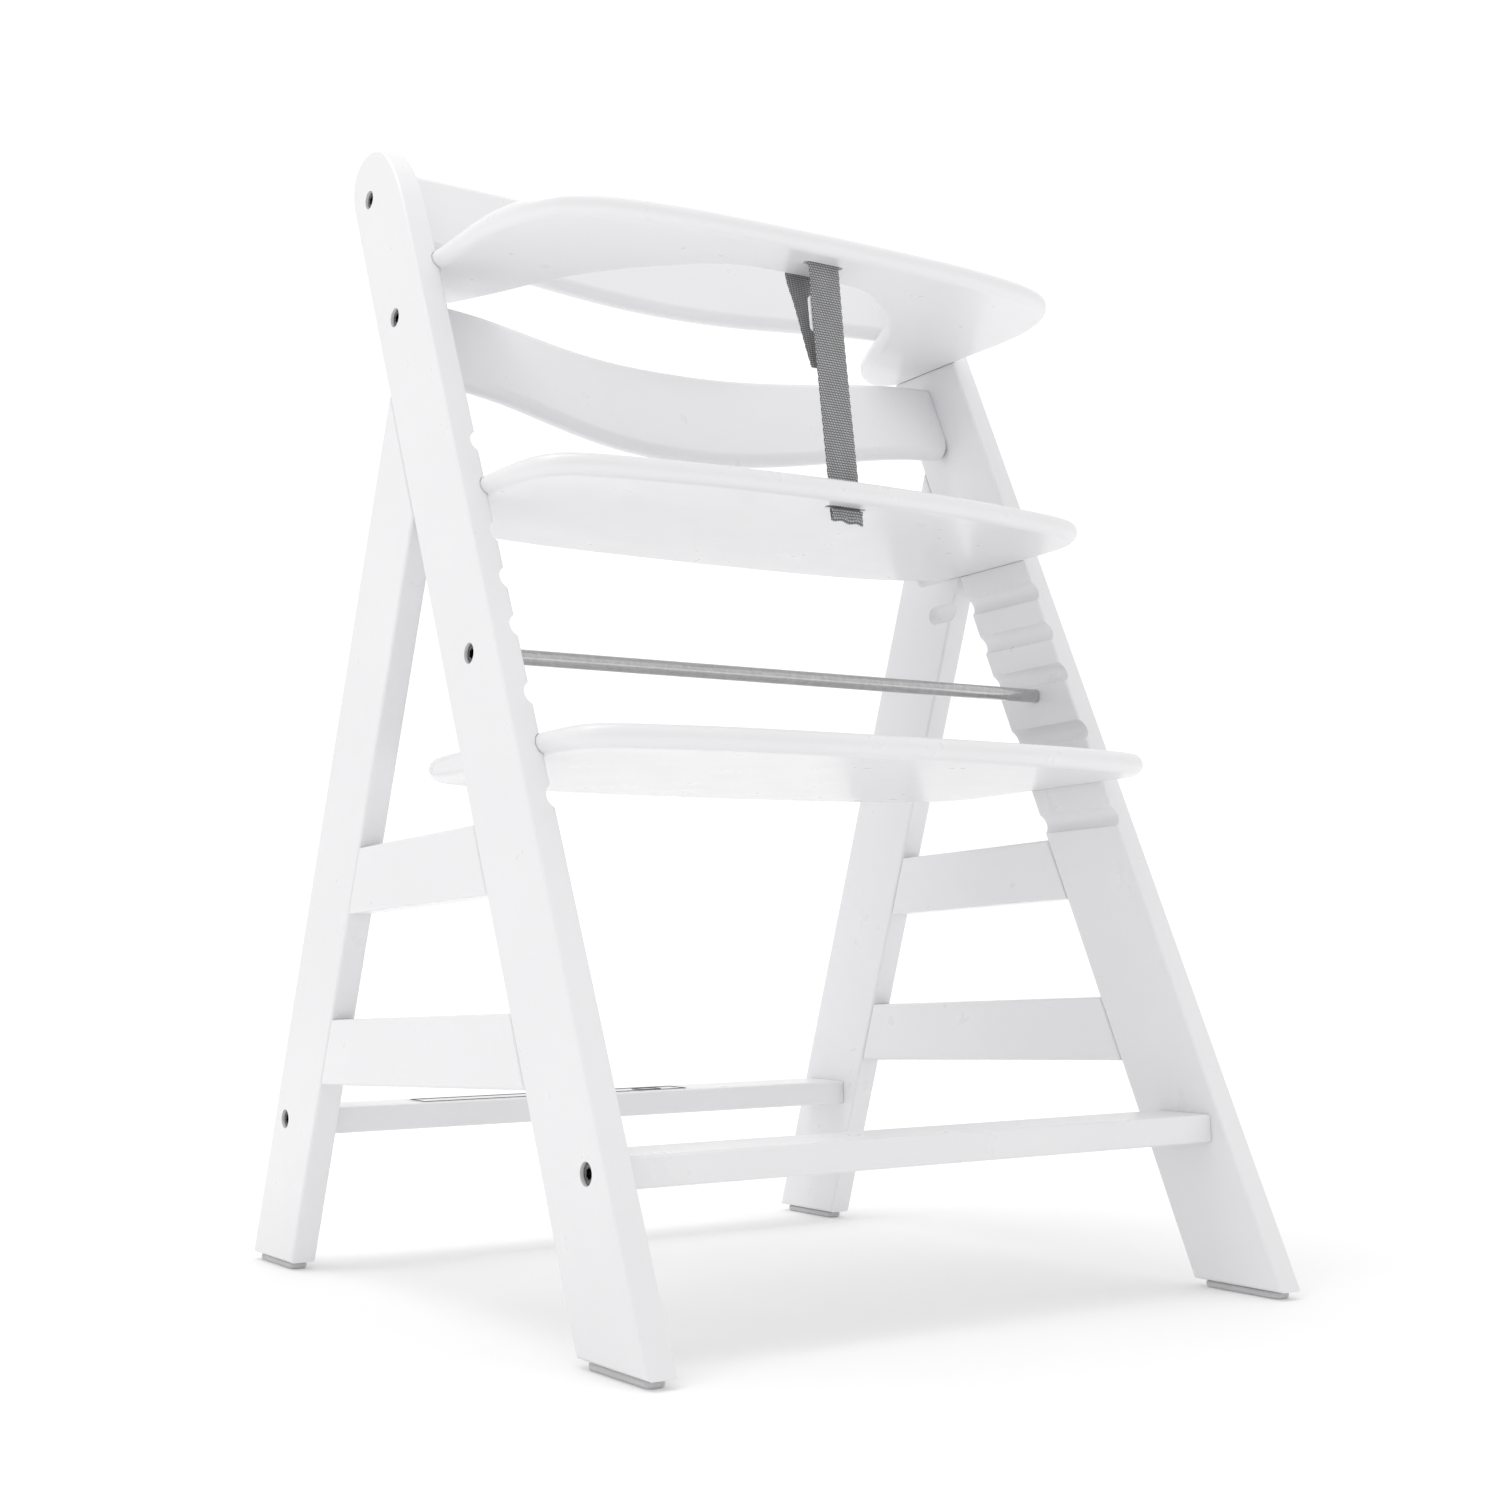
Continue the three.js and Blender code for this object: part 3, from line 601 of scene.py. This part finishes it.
wrap = [yz(tray_at(0, -84 + off * math.cos(a * RAD), off * math.sin(a * RAD))) for a in range(0, 91, 10)]
tab = [yz(seat_at(0, SEAT_SLOT_Y + 1.2, half + 1)), yz(seat_at(0, SEAT_SLOT_Y + 0.8, 0)),
       yz(seat_at(0, SEAT_SLOT_Y + 0.4, -half)), yz(seat_at(0, SEAT_SLOT_Y - 0.2, -half - 5)),
       yz(seat_at(0, SEAT_SLOT_Y - 0.5, -half - 8.6)), yz(seat_at(0, SEAT_SLOT_Y - 1.3, -half - 9.7)),
       yz(seat_at(0, SEAT_SLOT_Y - 2.2, -half - 8.6)), yz(seat_at(0, SEAT_SLOT_Y - 2.0, -half - 5)),
       yz(seat_at(0, SEAT_SLOT_Y - 2.0, -half - 1.6))]
path = ([(-109.5, 612), (-103.4, 626), (-94.5, 648), (-86.6, 663), (-79.6, 676), (-76.2, 685)] + wrap
        + [yz(tray_at(0, -90, off)), yz(tray_at(0, -97, off)), yz(tray_at(0, TRAY_SLOT_Y + 3.4, off)),
           yz(tray_at(0, TRAY_SLOT_Y + 1.0, off - 0.5)), yz(tray_at(0, TRAY_SLOT_Y, off - 2.2)),
           yz(tray_at(0, TRAY_SLOT_Y, half - 4)), front_top]
        + [along_run(0, d, h)[1:] for d, h in ((15, 0.6), (30, 0.9), (62, 1.2), (98, 0.9), (135, 0.4))]
        + [front_low] + tab)


def band(name, points, width, thick):
    """Woven tape along a path in the plane of symmetry, each thread crossing a small dome."""
    total = sum(math.dist(points[i], points[i + 1]) for i in range(len(points) - 1))
    rows, cols = int(total / PICK * 3), ENDS * 2
    line = np.array(spline(points, rows))
    tan = np.gradient(line, axis=0)
    tan /= np.linalg.norm(tan, axis=1)[:, None]
    nrm = np.stack([-tan[:, 1], tan[:, 0]], 1)
    dist = np.concatenate([[0], np.cumsum(np.linalg.norm(np.diff(line, axis=0), axis=1))])
    a = np.linspace(-1, 1, cols + 1)
    verts, cells = [], []
    for side in (1, -1):
        for i in range(rows + 1):
            for j in range(cols + 1):
                u, v = (a[j] + 1) / 2 * ENDS, dist[i] / PICK
                edge = 1 - abs(a[j]) ** 14
                dome = 0.16 * math.sin(math.pi * u) * math.sin(math.pi * v) * side
                h = side * (thick / 2 * (0.55 + 0.45 * edge) - 0.12) + side * dome * edge
                waver = 0.18 * math.sin(math.pi * v * 0.5) * (1 if abs(a[j]) > 0.96 else 0)
                verts.append((a[j] * (width / 2) + waver * a[j],
                              line[i, 0] + nrm[i, 0] * h, line[i, 1] + nrm[i, 1] * h))
                cells.append((u, v + (0 if side > 0 else 1)))
    w, back = cols + 1, (rows + 1) * (cols + 1)
    faces = [(i * w + j, i * w + j + 1, (i + 1) * w + j + 1, (i + 1) * w + j)
             for i in range(rows) for j in range(cols)]
    faces += [tuple(back + k for k in reversed(f)) for f in faces]
    for i in range(rows):
        faces += [(i * w, (i + 1) * w, back + (i + 1) * w, back + i * w),
                  (i * w + cols, back + i * w + cols, back + (i + 1) * w + cols, (i + 1) * w + cols)]
    for j in range(cols):
        faces += [(j, back + j, back + j + 1, j + 1),
                  (rows * w + j, rows * w + j + 1, back + rows * w + j + 1, back + rows * w + j)]
    o = new_object(name, verts, faces)
    layer = o.data.uv_layers.new(name="weave")
    index = np.zeros(len(o.data.loops), int)
    o.data.loops.foreach_get("vertex_index", index)
    layer.data.foreach_set("uv", np.array(cells)[index].astype(np.float32).ravel())
    return o


strap = band("strap_band", path, STRAP_W, STRAP_T)
under = seat_at(0, SEAT_SLOT_Y, -half)[2]
for v_ in strap.data.vertices:          # the turned-up end hangs lower on one side and is not quite straight
    x_, z_ = v_.co.x * 1000, v_.co.z * 1000
    k_ = min(1, max(0, (under - 1 - z_) / 8)) ** 1.5
    v_.co.z -= 0.001 * k_ * (0.3 + 0.9 * x_ / 12.5 + 0.6 * math.sin(x_ * 0.5 + 0.8))
    if v_.co.y > -0.097:      # the rear run lies slightly askew
        t_ = min(1, max(0, (z_ - 620) / 60))
        v_.co.x += 0.0022 * t_ * t_ * (3 - 2 * t_) * min(1, (v_.co.y * 1000 + 97) / 12)
finish_piece(strap, None, "webbing", WEB_MAT, angle=80, weighted=False)
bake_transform(strap)
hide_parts("strap", "strap_end")


def stitches(name, points, body, r=0.28, length=2.2):
    """Row of short raised stitches lying on the tape."""
    parts = []
    for k, (p, d, up) in enumerate(points):
        p, d, up = Vector(p), Vector(d).normalized(), Vector(up).normalized()
        side = d.cross(up)
        rings = []
        for i in range(9):
            t = i / 8
            rr = r * math.sin(math.pi * (0.08 + 0.84 * t)) + 0.03
            c = p + d * (t - 0.5) * length + up * (0.12 * math.sin(math.pi * t))
            rings.append([tuple(c + (side * math.cos(a) + up * math.sin(a)) * rr)
                          for a in np.linspace(0, 2 * math.pi, 10, endpoint=False)])
        parts.append(loft("stitch", rings))
    o = join(parts)
    o.name = name
    return finish_piece(o, body, "webbing", THREAD, angle=60, weighted=False)


fwd = Vector(seat_at(0, -1, 0)) - Vector(seat_at(0, 0, 0))
rows_ = []
for z_ in (-half - 3, -half - 7.5):
    for x_ in np.arange(-10.5, 10.6, 3.0):
        rows_.append((seat_at(x_, SEAT_SLOT_Y - 2.0 - STRAP_T / 2 - 0.02, z_), (1, 0, 0), fwd))
stitches("strap_stitching", rows_, "seat")

SLIDER = dict(w=25.8, h=26, t=3, start=30, behind=3.9)
plate = board("strap_slider_fine", rounded_box(SLIDER["w"], SLIDER["h"], 3, 10), SLIDER["t"], 1.0, 5,
              lambda a, v, k: along_run(a, SLIDER["start"] + SLIDER["h"] / 2 + v, SLIDER["behind"] + k))
tools = []
for d in (7.5, SLIDER["h"] - 7.5):
    r = rounded_box(21, 4, 1, 6)
    tools.append(loft("tool", [[along_run(a, SLIDER["start"] + d + v, SLIDER["behind"] + k) for a, v in r]
                               for k in (-8, 8)]))
finish_piece(cut(plate, tools, 0.3), "slider", "slider", CLIP_MAT, ("strap_slider",))

# ---- blank rating label on the back bar, its lettering left out ----------
top_z = BAR_Z + BAR_H / 2
label_x, label_y = -35, REAR_BAR_Y - 3
LABEL_W, LABEL_D, LABEL_T, MARK_X, MARK_TOP = 230, 30, 0.16, 48, 0.6
label = board("label_blank", rounded_box(LABEL_W, LABEL_D, 2.5, 8), LABEL_T, 0.06, 2,
              lambda x, v, k: (label_x + x, label_y + v, top_z + 0.1 + k))
finish_piece(label, "frame", "lacquer", LABEL_MAT)


def flat_ring(name, outer, inner, x, y, z0, z1):
    n = len(outer)
    corners = ((outer, z0), (outer, z1), (inner, z1), (inner, z0))
    verts = [(x + a, y + b, z) for ring, z in corners for a, b in ring]
    faces = [(r * n + i, r * n + (i + 1) % n, ((r + 1) % 4) * n + (i + 1) % n, ((r + 1) % 4) * n + i)
             for r in range(4) for i in range(n)]
    return finish_piece(new_object(name, verts, faces), "frame", "lacquer", INK_MAT, weighted=False)


flat_ring("label_border", rounded_box(LABEL_W - 5, LABEL_D - 4, 2, 8),
          rounded_box(LABEL_W - 7.4, LABEL_D - 6.4, 1, 8), label_x, label_y,
          top_z + LABEL_T, top_z + MARK_TOP)
flat_ring("label_mark", rounded_box(24, 16, 7.9, 12), rounded_box(18, 11, 5.4, 12), MARK_X, label_y,
          top_z + LABEL_T, top_z + MARK_TOP)

# ---- studio -------------------------------------------------------------
floor_me = bpy.data.meshes.new("studio_floor")
s_ = 6.0
floor_me.from_pydata([(-s_, -s_, 0), (s_, -s_, 0), (s_, s_, 0), (-s_, s_, 0)], [], [(0, 1, 2, 3)])
floor = bpy.data.objects.new("studio_floor", floor_me)
scene.collection.objects.link(floor)
fm = Nodes("floor_paper", Roughness=0.9)
fm.bsdf.inputs["Specular IOR Level"].default_value = 0.1
paper = fm.noise(fm.coords(), 3, 3, 0.5)
fm.link(fm.mix(fm.ramp(paper, 0.3, 0.7, 0, 1), (0.87, 0.87, 0.87, 1), (0.885, 0.885, 0.885, 1)), "Base Color")
# painted light: the floor glows, faintly near the chair and more strongly further out; the glow whitens the
# far floor and lights the undersides, and its dip in the middle is painted shade under the chair
reach = fm.add("VectorMath", {"operation": "LENGTH"}, i0=fm.coords()).outputs["Value"]
fm.bsdf.inputs["Emission Color"].default_value = (1, 1, 1, 1)
painted_floor_glow = fm.add("MapRange", {"interpolation_type": "SMOOTHSTEP"}, Value=reach,
              From_Min=0.25, From_Max=1.15, To_Min=0.09, To_Max=0.27).outputs[0]
fm.link(painted_floor_glow, "Emission Strength")
floor_me.materials.append(fm.m)

world = bpy.data.worlds.new("studio")
scene.world = world
world.use_nodes = True
wt = world.node_tree
bg = wt.nodes["Background"]
bg.inputs["Color"].default_value = (1, 1, 1, 1)


def world_node(kind, props=None, **inputs):
    n = wt.nodes.new("ShaderNode" + kind)
    for k, v in (props or {}).items():
        setattr(n, k, v)
    for k, v in inputs.items():
        sock = n.inputs[int(k[1:])] if k[0] == "i" and k[1:].isdigit() else n.inputs[k.replace("_", " ")]
        if isinstance(v, bpy.types.NodeSocket):
            wt.links.new(v, sock)
        else:
            sock.default_value = v
    return n


# soft tent: a little brighter behind, above and to the right than in front and low on the left
facing = world_node("VectorMath", {"operation": "DOT_PRODUCT"},
                    i0=world_node("TexCoord").outputs["Generated"], i1=(0.55, 0.65, 0.52)).outputs["Value"]
tent = world_node("MapRange", Value=facing, From_Min=-1, From_Max=1, To_Min=0.74, To_Max=1.0).outputs[0]
seen = world_node("LightPath").outputs["Is Camera Ray"]
wt.links.new(world_node("MapRange", Value=seen, To_Min=tent, To_Max=1.12).outputs[0], bg.inputs["Strength"])


def area(name, at, look, size, power):
    d = bpy.data.lights.new(name, "AREA")
    d.shape, d.size, d.size_y, d.energy = "RECTANGLE", size[0], size[1], power
    o = bpy.data.objects.new(name, d)
    o.location = at
    o.rotation_euler = (Vector(look) - Vector(at)).to_track_quat("-Z", "Y").to_euler()
    scene.collection.objects.link(o)


area("top_softbox", (-0.5, 0.3, 2.9), (0, 0, 0.2), (1.8, 1.8), 15)
area("strip_light", (-1.3, 0.12, 2.4), (-0.2, -0.1, 0.7), (0.35, 1.5), 5)

cam = bpy.data.cameras.new("camera")
camera = bpy.data.objects.new("camera", cam)
heading, climb, tilt = 33.715 * RAD, 8.205 * RAD, -0.312 * RAD
turned_to = (Matrix.Rotation(-heading, 4, "Z") @ Matrix.Rotation(math.pi / 2 + climb, 4, "X")
             @ Matrix.Rotation(tilt, 4, "Z"))
camera.matrix_world = Matrix.Translation(Vector((-0.8205, -1.2440, 0.2317))) @ turned_to
cam.sensor_width, cam.lens = 36, 50.718
cam.shift_x, cam.shift_y = -0.0003, -0.0803
cam.clip_start, cam.clip_end = 0.05, 60
scene.collection.objects.link(camera)
scene.camera = camera
scene.view_settings.view_transform = "Standard"

bpy.context.view_layer.update()
